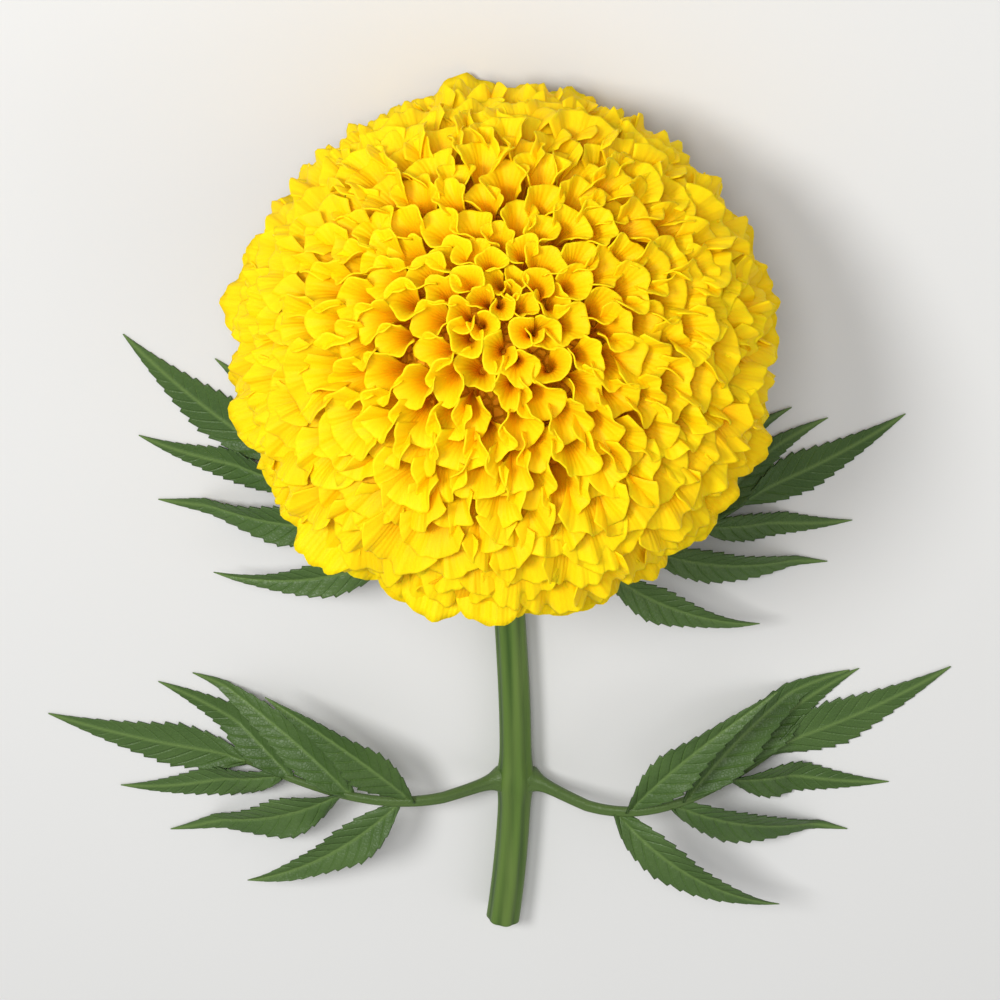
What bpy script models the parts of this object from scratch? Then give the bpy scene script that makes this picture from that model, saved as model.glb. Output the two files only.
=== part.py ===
"""African marigold flower, as picked: one double yellow head on its cut, leafy stem, lying on a surface.

The frame is +Z up with the surface at Z = 0. The stem runs along -Y and the head lies at its +Y end, its
face turned up and towards +Y. The origin is the middle of the flat spot on which the head rests.
Sizes are in metres and angles in radians. The head has a frame of its own: +Z out of its face, the
origin in the middle of its widest circle.
"""

import math
import random

import bmesh
import bpy
from mathutils import Matrix, Vector

MM = 0.001
GOLDEN_ANGLE = math.radians(137.508)
SEAT_GAP = 0.3 * MM

# The head's outer form, which the tips of its florets reach, and the elevation of its face.
HEAD_RADIUS = 44.5 * MM
DOME_HEIGHT = 35 * MM
EDGE_DEPTH = 26 * MM
HEAD_TILT = math.radians(45)
CORE_DEPTH = 8.5 * MM
CORE_BOTTOM = 7 * MM

# The florets grow larger and lean further out from the crown to the edge.
LAST_FLORET_ANGLE = math.radians(99)
CROWN_SPACING = 9.6 * MM
EDGE_SPACING = 15 * MM
FLORET_THICKNESS = 0.8 * MM
FLORET_LENGTH = 15 * MM
FLORET_COLUMNS = 4
STRAIGHT_FLORET_ANGLE = math.radians(56)

# Two rings of broad florets make the skirt: the (radius, height) where each starts, bends and ends, its
# width and its turn as a share of the step between florets. The first is the lowest, which the head rests on.
SKIRT_FLORETS = 14
SKIRT_RINGS = (
    (((7 * MM, -3 * MM), (24 * MM, -6 * MM), (41 * MM, -13.5 * MM)), 17 * MM, 0.0),
    (((20 * MM, -1 * MM), (33 * MM, -1 * MM), (44.5 * MM, -7 * MM)), 19 * MM, 0.5),
)
SKIRT_WAVE = 0.9 * MM
REST_SHARE = 0.9

# The calyx is a ribbed, toothed cup: (radius, height) in millimetres, from its base to its mouth.
CALYX_PROFILE = (
    (0.0, -34.0),
    (5.0, -34.0),
    (8.3, -30.5),
    (10.3, -24.5),
    (11.0, -18.0),
    (11.3, -12.0),
)
CALYX_WALL = 1.2 * MM
CALYX_TEETH = 8
CALYX_STEPS = 32
CALYX_RIB = 0.5 * MM
CALYX_TOOTH = 3.2 * MM
ROOT_PROFILE = ((0.0, -32.3), (3.9, -32.3), (6.8, -29.5), (8.6, -24.2), (9.4, -18.0), (9.7, -4.0))
ROOT_STEPS = 16

# The stem leaves the calyx along the head's axis, turns level and runs along the surface to its cut end.
STEM_TOP_RADIUS = 4.7 * MM
STEM_RADIUS = 2.6 * MM
STEM_CUT_RADIUS = 3.1 * MM
STEM_HEIGHT = 3.5 * MM
STEM_STRAIGHT = 4 * MM
STEM_TAPER = 30 * MM
STEM_RUN = 104 * MM
STEM_SWAY = 4 * MM
STEM_POINTS = 24
STEM_SIDES_RESOLUTION = 4
NODE_SWELL = 0.5 * MM
NODE_REACH = 3.5 * MM

# Leaves grow in pairs at two nodes of the stem. Of each: how far along the level run it grows, its side,
# its heading from +Y and how far that turns, its rachis, leaflets and arch.
LEAVES = {
    "leaf_upper_left": {
        "run": 25 * MM, "side": -1, "heading": math.radians(70), "turn": math.radians(20),
        "rachis": 44 * MM, "pairs": 3, "leaflet": 36 * MM, "arch": 8 * MM,
    },
    "leaf_upper_right": {
        "run": 25 * MM, "side": 1, "heading": math.radians(76), "turn": math.radians(8),
        "rachis": 40 * MM, "pairs": 3, "leaflet": 34 * MM, "arch": 7 * MM,
    },
    "leaf_lower_left": {
        "run": 72 * MM, "side": -1, "heading": math.radians(92), "turn": math.radians(12),
        "rachis": 46 * MM, "pairs": 3, "leaflet": 38 * MM, "arch": 8 * MM,
    },
    "leaf_lower_right": {
        "run": 72 * MM, "side": 1, "heading": math.radians(98), "turn": math.radians(30),
        "rachis": 44 * MM, "pairs": 3, "leaflet": 39 * MM, "arch": 10 * MM,
    },
}
LEAF_THICKNESS = 0.7 * MM
RACHIS_BASE_RADIUS = 1.3 * MM
RACHIS_TIP_RADIUS = 0.6 * MM
RACHIS_TIP_HEIGHT = 2.2 * MM
RACHIS_POINTS = 8
PETIOLE_SHARE = 0.28
LEAFLET_ROWS = 10
LEAFLET_WIDTH_SHARE = 0.23
LEAFLET_WIDEST = 0.38
LEAFLET_ANGLE = math.radians(52)
LEAFLET_CLOSING = math.radians(8)
LEAFLET_BOW = math.radians(26)
LEAFLET_FOLD = math.radians(16)
LEAFLET_NOTCH = 0.78


def material(name, colour, roughness):
    made = bpy.data.materials.new(name)
    made.use_nodes = True
    shader = made.node_tree.nodes["Principled BSDF"]
    shader.inputs["Base Color"].default_value = (*colour, 1.0)
    shader.inputs["Roughness"].default_value = roughness
    shader.inputs["Metallic"].default_value = 0.0
    made.diffuse_color = (*colour, 1.0)
    return made


def collection(name):
    made = bpy.data.collections.new(name)
    bpy.context.scene.collection.children.link(made)
    return made


def new_object(name, data, home):
    made = bpy.data.objects.new(name, data)
    home.objects.link(made)
    return made


def mesh_from(shape, name):
    mesh = bpy.data.meshes.new(name)
    shape.to_mesh(mesh)
    shape.free()
    return mesh


def evaluated_mesh(obj):
    bpy.context.view_layer.update()
    graph = bpy.context.evaluated_depsgraph_get()
    return bpy.data.meshes.new_from_object(obj.evaluated_get(graph))


def apply_modifiers(obj):
    mesh = evaluated_mesh(obj)
    obj.modifiers.clear()
    obj.data = mesh


def remove_collection(home):
    for obj in list(home.objects):
        bpy.data.objects.remove(obj)
    bpy.data.collections.remove(home)


def fuse(body, repeats):
    """Joins the collection's objects to the body in one union, and removes them."""
    union = body.modifiers.new("union", "BOOLEAN")
    union.operation = "UNION"
    union.operand_type = "COLLECTION"
    union.collection = repeats
    union.solver = "MANIFOLD"
    apply_modifiers(body)
    remove_collection(repeats)


def finish(obj, coat):
    obj.data.materials.clear()
    obj.data.materials.append(coat)


def blade(name, columns, rows, place, thickness, home):
    """A thin closed blade: a grid moved by place(u, v), u from -1 to 1 across it and v from 0 to 1 along."""
    shape = bmesh.new()
    bmesh.ops.create_grid(shape, x_segments=columns, y_segments=rows, size=1.0)
    bmesh.ops.triangulate(shape, faces=shape.faces[:])
    for vertex in shape.verts:
        vertex.co = place(vertex.co.x, (vertex.co.y + 1) / 2)
    made = new_object(name, mesh_from(shape, name), home)
    solid = made.modifiers.new("thickness", "SOLIDIFY")
    solid.thickness = thickness
    solid.offset = 0.0
    return made


def turned(profile, steps):
    """A surface turned about Z from (radius, height) pairs in millimetres, with its faces pointing out."""
    shape = bmesh.new()
    ring = [shape.verts.new((radius * MM, 0, height * MM)) for radius, height in profile]
    edges = [shape.edges.new(pair) for pair in zip(ring, ring[1:])]
    bmesh.ops.spin(
        shape,
        geom=ring + edges,
        axis=(0, 0, 1),
        cent=(0, 0, 0),
        steps=steps,
        angle=2 * math.pi,
        use_merge=True,
    )
    bmesh.ops.remove_doubles(shape, verts=shape.verts[:], dist=0.01 * MM)
    bmesh.ops.recalc_face_normals(shape, faces=shape.faces[:])
    if sum(face.normal.dot(face.calc_center_median() * Vector((1, 1, 0))) for face in shape.faces) < 0:
        bmesh.ops.reverse_faces(shape, faces=shape.faces[:])
    return shape


def head_matrix():
    """Puts the head's own frame where it lies, with the rest point of its lowest ring at the origin."""
    lean = Matrix.Rotation(HEAD_TILT - math.pi / 2, 4, "X")
    rest = curve_point(SKIRT_RINGS[0][0], REST_SHARE)
    return lean @ Matrix.Translation((0, -rest[0], -rest[1]))


def curve_point(points, share):
    """(radius, height) on the smooth curve that a start, a bend and an end give."""
    weights = ((1 - share) ** 2, 2 * share * (1 - share), share**2)
    return tuple(sum(weight * point[axis] for weight, point in zip(weights, points)) for axis in (0, 1))


def envelope(angle, turn):
    """(point, outward normal) of the head's outer form, angle from the middle of its face."""
    height = DOME_HEIGHT if angle < math.pi / 2 else EDGE_DEPTH
    radial = Vector((math.cos(turn), math.sin(turn), 0))
    point = radial * HEAD_RADIUS * math.sin(angle) + Vector((0, 0, height * math.cos(angle)))
    normal = radial * height * math.sin(angle) + Vector((0, 0, HEAD_RADIUS * math.cos(angle)))
    return point, normal.normalized()


def floret_places():
    """(angle, turn, spacing) of each floret, in the golden spiral that a marigold head follows."""
    places = []
    step = math.radians(0.05)
    angle, due = 0.0, 0.5
    while angle < LAST_FLORET_ANGLE:
        share = angle / LAST_FLORET_ANGLE
        spacing = CROWN_SPACING + (EDGE_SPACING - CROWN_SPACING) * share**1.4
        ring = 2 * math.pi * HEAD_RADIUS * math.sin(angle)
        height = DOME_HEIGHT if angle < math.pi / 2 else EDGE_DEPTH
        path = step * math.hypot(HEAD_RADIUS * math.cos(angle), height * math.sin(angle))
        due -= ring * path / (0.87 * spacing**2)
        if due <= 0:
            places.append((angle, len(places) * GOLDEN_ANGLE, spacing))
            due += 1
        angle += step
    return places


def floret_place(angle, turn, spacing, dice):
    """Moves a grid to one floret: a scoop that opens towards the crown, leans outwards and has a waved rim."""
    share = angle / LAST_FLORET_ANGLE
    tip, normal = envelope(angle, turn)
    side = Vector((-math.sin(turn), math.cos(turn), 0))
    away = side.cross(normal)
    spin = dice.uniform(-0.2, 0.2)
    away, side = (
        away * math.cos(spin) + side * math.sin(spin),
        side * math.cos(spin) - away * math.sin(spin),
    )
    bend = math.radians(14 + 56 * share**1.5) * dice.uniform(0.93, 1.07)
    curl = math.radians(190 - 95 * share) * dice.uniform(0.9, 1.1)
    length = FLORET_LENGTH * (1 + 0.3 * share)
    width = spacing * (1.22 - 0.12 * share)
    wave = 0.085 * spacing * dice.uniform(0.8, 1.2)
    phase = dice.choice((0.0, math.pi))
    bend_radius = length / bend
    start = tip - bend_radius * (normal * math.sin(bend) + away * (1 - math.cos(bend)))

    def place(u, v):
        leaned = bend * v
        along = normal * math.cos(leaned) + away * math.sin(leaned)
        out = away * math.cos(leaned) - normal * math.sin(leaned)
        middle = start + bend_radius * (normal * math.sin(leaned) + away * (1 - math.cos(leaned)))
        radius = width * (0.3 + 0.7 * v) / curl
        swing = u * curl / 2
        face = out * math.cos(swing) + side * math.sin(swing)
        ripple = wave * v**2 * math.cos(2 * math.pi * u + phase)
        return middle - out * radius + face * (radius + ripple) - along * (0.24 * length * u * u * v)

    return place


def skirt_place(points, width, turn, dice):
    """Moves a grid to one floret of the skirt, whose back shows from the calyx to the head's edge."""
    radial = Vector((math.cos(turn), math.sin(turn), 0))
    side = Vector((-math.sin(turn), math.cos(turn), 0))
    wave = SKIRT_WAVE * dice.choice((-1, 1))

    def place(u, v):
        radius, height = curve_point(points, v)
        half = width / 2 * (0.16 + 0.84 * v**0.8)
        ripple = wave * v**2 * math.sin(2 * math.pi * u)
        cup = 0.11 * width * u * u * v
        rounding = 0.19 * width * u * u * v**2
        return radial * (radius - rounding) + side * (half * u) + Vector((0, 0, height + ripple + cup))

    return place


def florets(home, coat):
    """All the yellow as one body: the florets stand out of a smaller core and the bundle of their roots."""
    dice = random.Random(11)
    repeats = collection("floret_repeats")
    shape = turned(ROOT_PROFILE, ROOT_STEPS)
    bmesh.ops.holes_fill(shape, edges=[edge for edge in shape.edges if edge.is_boundary], sides=0)
    bmesh.ops.recalc_face_normals(shape, faces=shape.faces[:])
    new_object("roots", mesh_from(shape, "roots"), repeats)

    shape = bmesh.new()
    bmesh.ops.create_uvsphere(shape, u_segments=20, v_segments=12, radius=1.0)
    radius = HEAD_RADIUS - CORE_DEPTH
    for vertex in shape.verts:
        height = DOME_HEIGHT - CORE_DEPTH if vertex.co.z > 0 else CORE_BOTTOM
        vertex.co = Vector((vertex.co.x * radius, vertex.co.y * radius, vertex.co.z * height))
    head = new_object("florets", mesh_from(shape, "florets"), home)

    for count, (angle, turn, spacing) in enumerate(floret_places()):
        rows = 1 if angle < STRAIGHT_FLORET_ANGLE else 2
        place = floret_place(angle, turn, spacing, dice)
        blade(f"floret_{count}", FLORET_COLUMNS, rows, place, FLORET_THICKNESS, repeats)
    for ring, (points, width, shift) in enumerate(SKIRT_RINGS):
        for count in range(SKIRT_FLORETS):
            turn = math.pi / 2 + 2 * math.pi * (count + shift) / SKIRT_FLORETS
            place = skirt_place(points, width, turn, dice)
            blade(f"skirt_{ring}_{count}", FLORET_COLUMNS, 3 - ring, place, FLORET_THICKNESS, repeats)
    fuse(head, repeats)
    head.data.transform(head_matrix())
    flatten_below_surface(head)
    finish(head, coat)


def flatten_below_surface(obj):
    """Trims what would reach below Z = 0, which leaves the flat spot that the object rests on."""
    cutters = collection("cutters")
    shape = bmesh.new()
    bmesh.ops.create_cube(shape, size=4 * HEAD_RADIUS)
    bmesh.ops.translate(shape, verts=shape.verts[:], vec=(0, 0, -2 * HEAD_RADIUS))
    slab = new_object("surface", mesh_from(shape, "surface"), cutters)
    slab.hide_render = True
    slab.display_type = "WIRE"
    trim = obj.modifiers.new("flat_spot", "BOOLEAN")
    trim.operation = "DIFFERENCE"
    trim.object = slab
    trim.solver = "MANIFOLD"
    apply_modifiers(obj)
    remove_collection(cutters)


def calyx(home, coat):
    """The green cup of fused bracts, one rib and one pointed tooth for each."""
    shape = turned(CALYX_PROFILE, CALYX_STEPS)
    mouth = CALYX_PROFILE[-1][1] * MM
    base = CALYX_PROFILE[0][1] * MM
    for vertex in shape.verts:
        turn = math.atan2(vertex.co.y, vertex.co.x)
        rib = 0.5 + 0.5 * math.cos(CALYX_TEETH * turn)
        share = (vertex.co.z - base) / (mouth - base)
        radial = Vector((vertex.co.x, vertex.co.y, 0))
        if radial.length > CALYX_WALL:
            vertex.co += radial.normalized() * CALYX_RIB * rib * math.sin(math.pi * min(1, share * 1.1))
        if vertex.co.z > mouth - 0.1 * MM:
            vertex.co.z += CALYX_TOOTH * rib
    cup = new_object("calyx", mesh_from(shape, "calyx"), home)
    wall = cup.modifiers.new("wall", "SOLIDIFY")
    wall.thickness = CALYX_WALL
    wall.offset = -1.0
    apply_modifiers(cup)
    cup.data.transform(head_matrix())
    finish(cup, coat)


def stem_bend():
    """(where the stem begins to bend, the bend's radius), so that it comes level on the surface."""
    start = head_matrix() @ Vector((0, 0, CALYX_PROFILE[0][1] * MM - SEAT_GAP - STEM_STRAIGHT))
    return start, (start.z - STEM_HEIGHT) / (1 - math.cos(HEAD_TILT))


def stem_level():
    """The distance along the stem at which it comes level."""
    return STEM_STRAIGHT + stem_bend()[1] * HEAD_TILT


def stem_point(distance):
    """The middle of the stem at this distance from the calyx."""
    start, bend_radius = stem_bend()
    straight = max(0.0, STEM_STRAIGHT - distance)
    left = HEAD_TILT * (1 - min(1.0, max(0.0, distance - STEM_STRAIGHT) / (bend_radius * HEAD_TILT)))
    run = max(0.0, distance - stem_level())
    sway = STEM_SWAY * math.sin(math.pi * run / STEM_RUN) * (run / STEM_RUN)
    across = bend_radius * (math.sin(HEAD_TILT) - math.sin(left)) - straight * math.cos(HEAD_TILT)
    down = bend_radius * (math.cos(left) - math.cos(HEAD_TILT)) - straight * math.sin(HEAD_TILT)
    return Vector((sway, start.y - across - run, start.z - down))


def stem_radius(distance):
    level = stem_level()
    neck = (STEM_TOP_RADIUS - STEM_RADIUS) * max(0.0, 1 - distance / STEM_TAPER) ** 1.6
    foot = (STEM_CUT_RADIUS - STEM_RADIUS) * max(0.0, distance - level) / STEM_RUN
    nodes = {level + leaf["run"] for leaf in LEAVES.values()}
    swell = sum(math.exp(-(((distance - node) / NODE_REACH) ** 2)) for node in nodes)
    return STEM_RADIUS + neck + foot + NODE_SWELL * swell


def tube(name, points, radii, resolution, home):
    """A curve through the points with its own radius at each, and closed ends."""
    curve = bpy.data.curves.new(name, "CURVE")
    curve.dimensions = "3D"
    curve.bevel_depth = 1.0
    curve.bevel_resolution = resolution
    curve.use_fill_caps = True
    spline = curve.splines.new("POLY")
    spline.points.add(len(points) - 1)
    for spot, point, radius in zip(spline.points, points, radii):
        spot.co = (*point, 1.0)
        spot.radius = radius
    return new_object(name, curve, home)


def stem(home, coat):
    length = stem_level() + STEM_RUN
    distances = [0.0] + [
        STEM_STRAIGHT + (length - STEM_STRAIGHT) * count / (STEM_POINTS - 1) for count in range(STEM_POINTS)
    ]
    points = [stem_point(distance) for distance in distances]
    radii = [stem_radius(distance) for distance in distances]
    made = tube("stem", points, radii, STEM_SIDES_RESOLUTION, home)
    finish(made, coat)


def leaflet_place(base, along, length, bow):
    """Moves a grid to one leaflet: a toothed blade, folded up along its bowed rib and drooping to its tip."""
    side = Vector((0, 0, 1)).cross(along).normalized()
    lowest = LEAF_THICKNESS / 2 + 0.05 * MM

    def place(u, v):
        row = round(v * LEAFLET_ROWS)
        notched = row % 2 == 0 and 0 < row < LEAFLET_ROWS
        if v < LEAFLET_WIDEST:
            breadth = 0.12 + 0.88 * math.sin(math.pi / 2 * v / LEAFLET_WIDEST)
        else:
            breadth = 0.04 + 0.96 * ((1 - v) / (1 - LEAFLET_WIDEST)) ** 1.1
        half = length * LEAFLET_WIDTH_SHARE / 2 * breadth * (LEAFLET_NOTCH if notched else 1.0)
        rib = base + (along * math.sin(bow * v) + side * (1 - math.cos(bow * v))) * (length / bow)
        ahead = along * math.cos(bow * v) + side * math.sin(bow * v)
        across = side * math.cos(bow * v) - along * math.sin(bow * v)
        lead = 0.0 if notched else 0.04 * length * abs(u) * (1 - v)
        height = half * abs(u) * math.tan(LEAFLET_FOLD) + length * (0.12 * v - 0.26 * v * v)
        point = rib + across * (half * u) + ahead * lead + Vector((0, 0, height))
        point.z = max(point.z, lowest)
        return point

    return place


def rachis_points(leaf):
    """The middle line of a leaf's petiole and rachis, from the stem to the last leaflet."""
    along = stem_level() + leaf["run"]
    clearance = SEAT_GAP + RACHIS_BASE_RADIUS * (abs(math.cos(leaf["heading"])) + 0.1)
    root = stem_point(along) + Vector((leaf["side"] * (stem_radius(along) + clearance), 0, 0))
    step = leaf["rachis"] / (RACHIS_POINTS - 1)
    ground = root.copy()
    points = []
    for count in range(RACHIS_POINTS):
        share = count / (RACHIS_POINTS - 1)
        fall = (root.z - RACHIS_TIP_HEIGHT) * share
        height = root.z + leaf["arch"] * math.sin(math.pi * share**0.8) - fall
        points.append(Vector((ground.x, ground.y, height)))
        heading = leaf["heading"] - leaf["turn"] * share
        ground += Vector((leaf["side"] * math.sin(heading), math.cos(heading), 0)) * step
    return points


def along_rachis(points, share):
    """(point, direction) at this share of the rachis."""
    place = share * (len(points) - 1)
    low = min(int(place), len(points) - 2)
    return points[low].lerp(points[low + 1], place - low), (points[low + 1] - points[low]).normalized()


def welded_tube(name, points, radii, home):
    """The same tube as a closed mesh, which other shapes can be fused to."""
    guide = tube("guide", points, radii, 0, home)
    shape = bmesh.new()
    shape.from_mesh(evaluated_mesh(guide))
    bpy.data.objects.remove(guide)
    bmesh.ops.remove_doubles(shape, verts=shape.verts[:], dist=0.001 * MM)
    bmesh.ops.recalc_face_normals(shape, faces=shape.faces[:])
    return new_object(name, mesh_from(shape, name), home)


def make_leaf(home, coat, name, leaf):
    """A pinnate leaf: its petiole and rachis, pairs of leaflets and one at the end, fused in one body."""
    points = rachis_points(leaf)
    taper = (RACHIS_TIP_RADIUS - RACHIS_BASE_RADIUS) / (RACHIS_POINTS - 1)
    radii = [RACHIS_BASE_RADIUS + taper * count for count in range(RACHIS_POINTS)]
    made = welded_tube(name, points, radii, home)
    repeats = collection(f"{name}_leaflets")
    for pair in range(leaf["pairs"]):
        share = PETIOLE_SHARE + (1 - PETIOLE_SHARE) * (pair + 0.3) / leaf["pairs"]
        size = leaf["leaflet"] * (0.68 + 0.32 * math.sin(math.pi * (pair + 1.2) / (leaf["pairs"] + 1)))
        for edge in (-1, 1):
            point, ahead = along_rachis(points, share + 0.025 * edge)
            swing = Matrix.Rotation(edge * (LEAFLET_ANGLE - LEAFLET_CLOSING * pair), 3, "Z")
            place = leaflet_place(point, (swing @ ahead).normalized(), size, -edge * LEAFLET_BOW)
            blade(f"leaflet_{pair}_{edge}", 2, LEAFLET_ROWS, place, LEAF_THICKNESS, repeats)
    point, ahead = along_rachis(points, 0.98)
    place = leaflet_place(point, ahead, leaf["leaflet"] * 1.12, leaf["side"] * LEAFLET_BOW / 2)
    blade("leaflet_end", 2, LEAFLET_ROWS, place, LEAF_THICKNESS, repeats)
    fuse(made, repeats)
    finish(made, coat)


def main():
    for obj in list(bpy.data.objects):
        bpy.data.objects.remove(obj)
    flower = collection("african_marigold_flower")
    florets(flower, material("petal_yellow", (0.95, 0.66, 0.01), 0.55))
    calyx(flower, material("calyx_green", (0.22, 0.36, 0.06), 0.5))
    stem(flower, material("stem_green", (0.13, 0.25, 0.05), 0.5))
    leaf_green = material("leaf_green", (0.05, 0.15, 0.03), 0.5)
    for name, leaf in LEAVES.items():
        make_leaf(flower, leaf_green, name, leaf)


main()
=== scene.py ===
"""Looks of the African marigold flower: fine florets, calyx, stem and leaves for the plain solids.

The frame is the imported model's: metres, +Z up, the surface at Z = 0, the stem along -Y. Shapes are made
in millimetres. Those of the head and its calyx are in the head's own frame, with +Z out of its face and
the origin in the middle of its widest circle. Angles in tables are in degrees.
"""

import math
from collections import namedtuple

import bpy
import numpy as np
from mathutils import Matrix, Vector


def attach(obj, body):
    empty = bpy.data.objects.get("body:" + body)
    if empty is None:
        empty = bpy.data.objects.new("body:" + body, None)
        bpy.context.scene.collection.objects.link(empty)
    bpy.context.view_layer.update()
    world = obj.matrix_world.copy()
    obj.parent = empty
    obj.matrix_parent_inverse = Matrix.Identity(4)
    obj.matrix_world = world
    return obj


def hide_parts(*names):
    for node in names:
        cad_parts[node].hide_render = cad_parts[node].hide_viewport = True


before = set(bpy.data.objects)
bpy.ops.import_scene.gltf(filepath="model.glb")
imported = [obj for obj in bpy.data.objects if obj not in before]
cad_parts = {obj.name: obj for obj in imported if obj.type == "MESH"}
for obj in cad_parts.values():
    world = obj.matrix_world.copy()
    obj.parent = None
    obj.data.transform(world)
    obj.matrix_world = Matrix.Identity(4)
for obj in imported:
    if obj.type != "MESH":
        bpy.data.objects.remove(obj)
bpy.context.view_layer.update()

MM = 0.001
GOLDEN_ANGLE = math.radians(137.508)
SEED = 7

# The head's outer form, and how it lies: the elevation of its face, and the (radius, height) in the head
# that is at the origin. The smaller core is this far under the outer form, and its underside this deep.
HEAD_RADIUS = 44.5
DOME_HEIGHT = 35.0
EDGE_DEPTH = 26.0
HEAD_TILT = math.radians(45)
HEAD_REST = (37.6, -12.045)
CORE_DEPTH = 10.2
CORE_BOTTOM = 6.0
CORE_ROWS = 20
CORE_UNDER_ROWS = 12
CORE_COLUMNS = 64

# The bundle of tubes in the calyx: (radius, height) down its outside.
BUNDLE_PROFILE = ((7.6, -8.0), (8.2, -14.0), (7.6, -22.0), (5.0, -29.0), (0.3, -30.0))

# The spiral of the florets ends at this angle from the middle of the face. Each measure of a floret goes
# through the values below at these shares of that angle, from the crown to the edge:
# spacing and length, the gap to the next floret and its own length;
# half and opening, half its width as a share of the gap, and the power by which it widens to its tip;
# curl_base and curl_tip, how far its cross-section curls round at its base and its tip;
# lean and bend, its lean at its base, and how much more it leans at its tip;
# lip and rounding, how far its end flares, and its corners' depth as a share of half its width;
# wave and notch, the height of its waves as a share of the gap, and the depth of the notches in its rim;
# sunk, how far its tip stays under the outer form.
LAST_ANGLE = math.radians(101)
FLORET_STATIONS = (0.0, 0.12, 0.3, 0.45, 0.6, 0.8, 1.0)
FLORET_FORM = {
    "spacing": (3.4, 5.4, 6.4, 6.9, 7.2, 7.7, 8.0),
    "length": (12.0, 13.0, 14.0, 14.5, 15.0, 16.0, 16.5),
    "half": (0.68, 0.71, 0.74, 0.79, 0.84, 0.85, 0.85),
    "opening": (1.6, 1.7, 1.6, 1.3, 1.0, 0.9, 0.9),
    "curl_base": (330, 325, 315, 290, 215, 120, 80),
    "curl_tip": (285, 278, 266, 222, 105, 15, -30),
    "lean": (2, 3, 6, 11, 19, 28, 33),
    "bend": (8, 13, 24, 32, 39, 43, 45),
    "lip": (1.1, 2.1, 2.4, 2.2, 1.4, 0.2, -0.4),
    "rounding": (0.4, 0.55, 0.8, 1.15, 1.3, 1.35, 1.35),
    "wave": (0.075, 0.095, 0.115, 0.135, 0.155, 0.17, 0.17),
    "sunk": (0.0, 0.0, 0.0, 0.2, 0.4, 0.7, 0.7),
    "notch": (0.3, 0.45, 0.55, 0.65, 0.75, 0.8, 0.8),
}
FLORET_ROWS = 16
FLORET_COLUMNS = 26
FLORETS_A_PIECE = 95

# A floret's room on the head as a share of its spacing squared, how much of its width its base has, the
# share of its length about which it leans, and how far florets stray from the rule: in their angle and
# turn on the head, in height, about their own line, sideways, in size, lean, bend, curl and lip.
ROOM_SHARE = 0.87
BASE_WIDTH = 0.26
LEAN_PIVOT = 0.75
ANGLE_STRAY = 0.014
TURN_STRAY = 0.03
HEIGHT_STRAY = 0.35
SPIN_STRAY = 0.2
SIDE_STRAY = 0.06
SIZE_STRAY = 0.07
LEAN_STRAY = 0.05
BEND_STRAY = 0.1
CURL_STRAY = 20
LIP_STRAY = 0.15

# The crown's florets, up to this share, are turned any way within this angle.
CROWN_SHARE = 0.13
CROWN_SPIN = 1.3

# The petals: their thickness, how softly they are pressed on the surface, how far they may stand out of
# the outer form as a share of the head, and how pale the edge's florets are at their bases, where 0 is as
# deep as the crown's. The deep orange at the bases is partly the petals' own colour and partly painted
# shade for their throats and the gaps between the florets.
PETAL_THICKNESS = 0.22
CONTACT = 1.8
STANDING_OUT = 0.045
BASE_ORANGE_AND_SHADE_PALING = 0.42

# The rings of the skirt: how many florets, the (radius, height) where they start, bend and end, and
# their width.
SKIRT_RINGS = (
    (26, ((8.2, -15.0), (9.5, 1.0), (41.0, -13.4)), 12.5),
    (28, ((7.4, -14.0), (12.0, 6.0), (43.6, -9.8)), 12.5),
    (30, ((6.4, -12.0), (16.0, 10.0), (44.6, -5.8)), 12.0),
    (30, ((14.0, -4.0), (28.0, 8.0), (45.2, -2.0)), 12.0),
)
SKIRT_ROWS = 13
SKIRT_COLUMNS = 22

# How far the skirt's florets curl across at their bases, in degrees, and how far they stray: in place as
# a share of the gap, in the height of their ends, in reach, in size and in curl.
SKIRT_CURL = 60
SKIRT_PLACE_STRAY = 0.16
SKIRT_LIFT_STRAY = 1.2
SKIRT_REACH_STRAY = 0.03
SKIRT_SIZE_STRAY = 0.06
SKIRT_CURL_STRAY = 8

# The calyx: (radius, height) up its outside, its teeth, its ribs and its wall.
CALYX_PROFILE = (
    (0.3, -34.0), (3.2, -34.1), (5.2, -33.8), (7.0, -32.2), (8.6, -29.8), (10.0, -25.5), (10.8, -21.0),
    (11.1, -16.5), (11.3, -12.0),
)
CALYX_ROWS = 36
CALYX_COLUMNS_A_TOOTH = 28
CALYX_TEETH = 8
CALYX_TOOTH = 3.4
CALYX_RIB = 0.8
CALYX_WALL = 0.8

# The stem, as in the solids, and its ridges.
STEM_ROWS = 180
STEM_COLUMNS = 70
STEM_TOP_RADIUS = 4.7
STEM_RADIUS = 2.6
STEM_CUT_RADIUS = 3.1
STEM_HEIGHT = 3.5
STEM_STRAIGHT = 4.0
STEM_TAPER = 30.0
STEM_RUN = 104.0
STEM_SWAY = 4.0
STEM_START = -34.3
NODE_SWELL = 0.5
NODE_REACH = 3.5
STEM_RIDGES = 7
RIDGE_HEIGHT = 0.24

# The cut end's rings, inwards: the share of the stem's radius, how far they stand out, and how pale the
# pith is there.
CUT_RINGS = (
    (0.97, -0.12, 0.2), (0.9, -0.1, 0.5), (0.8, 0.05, 0.75), (0.6, 0.16, 0.9), (0.35, 0.2, 1.0),
    (0.1, 0.22, 1.0),
)

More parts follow.
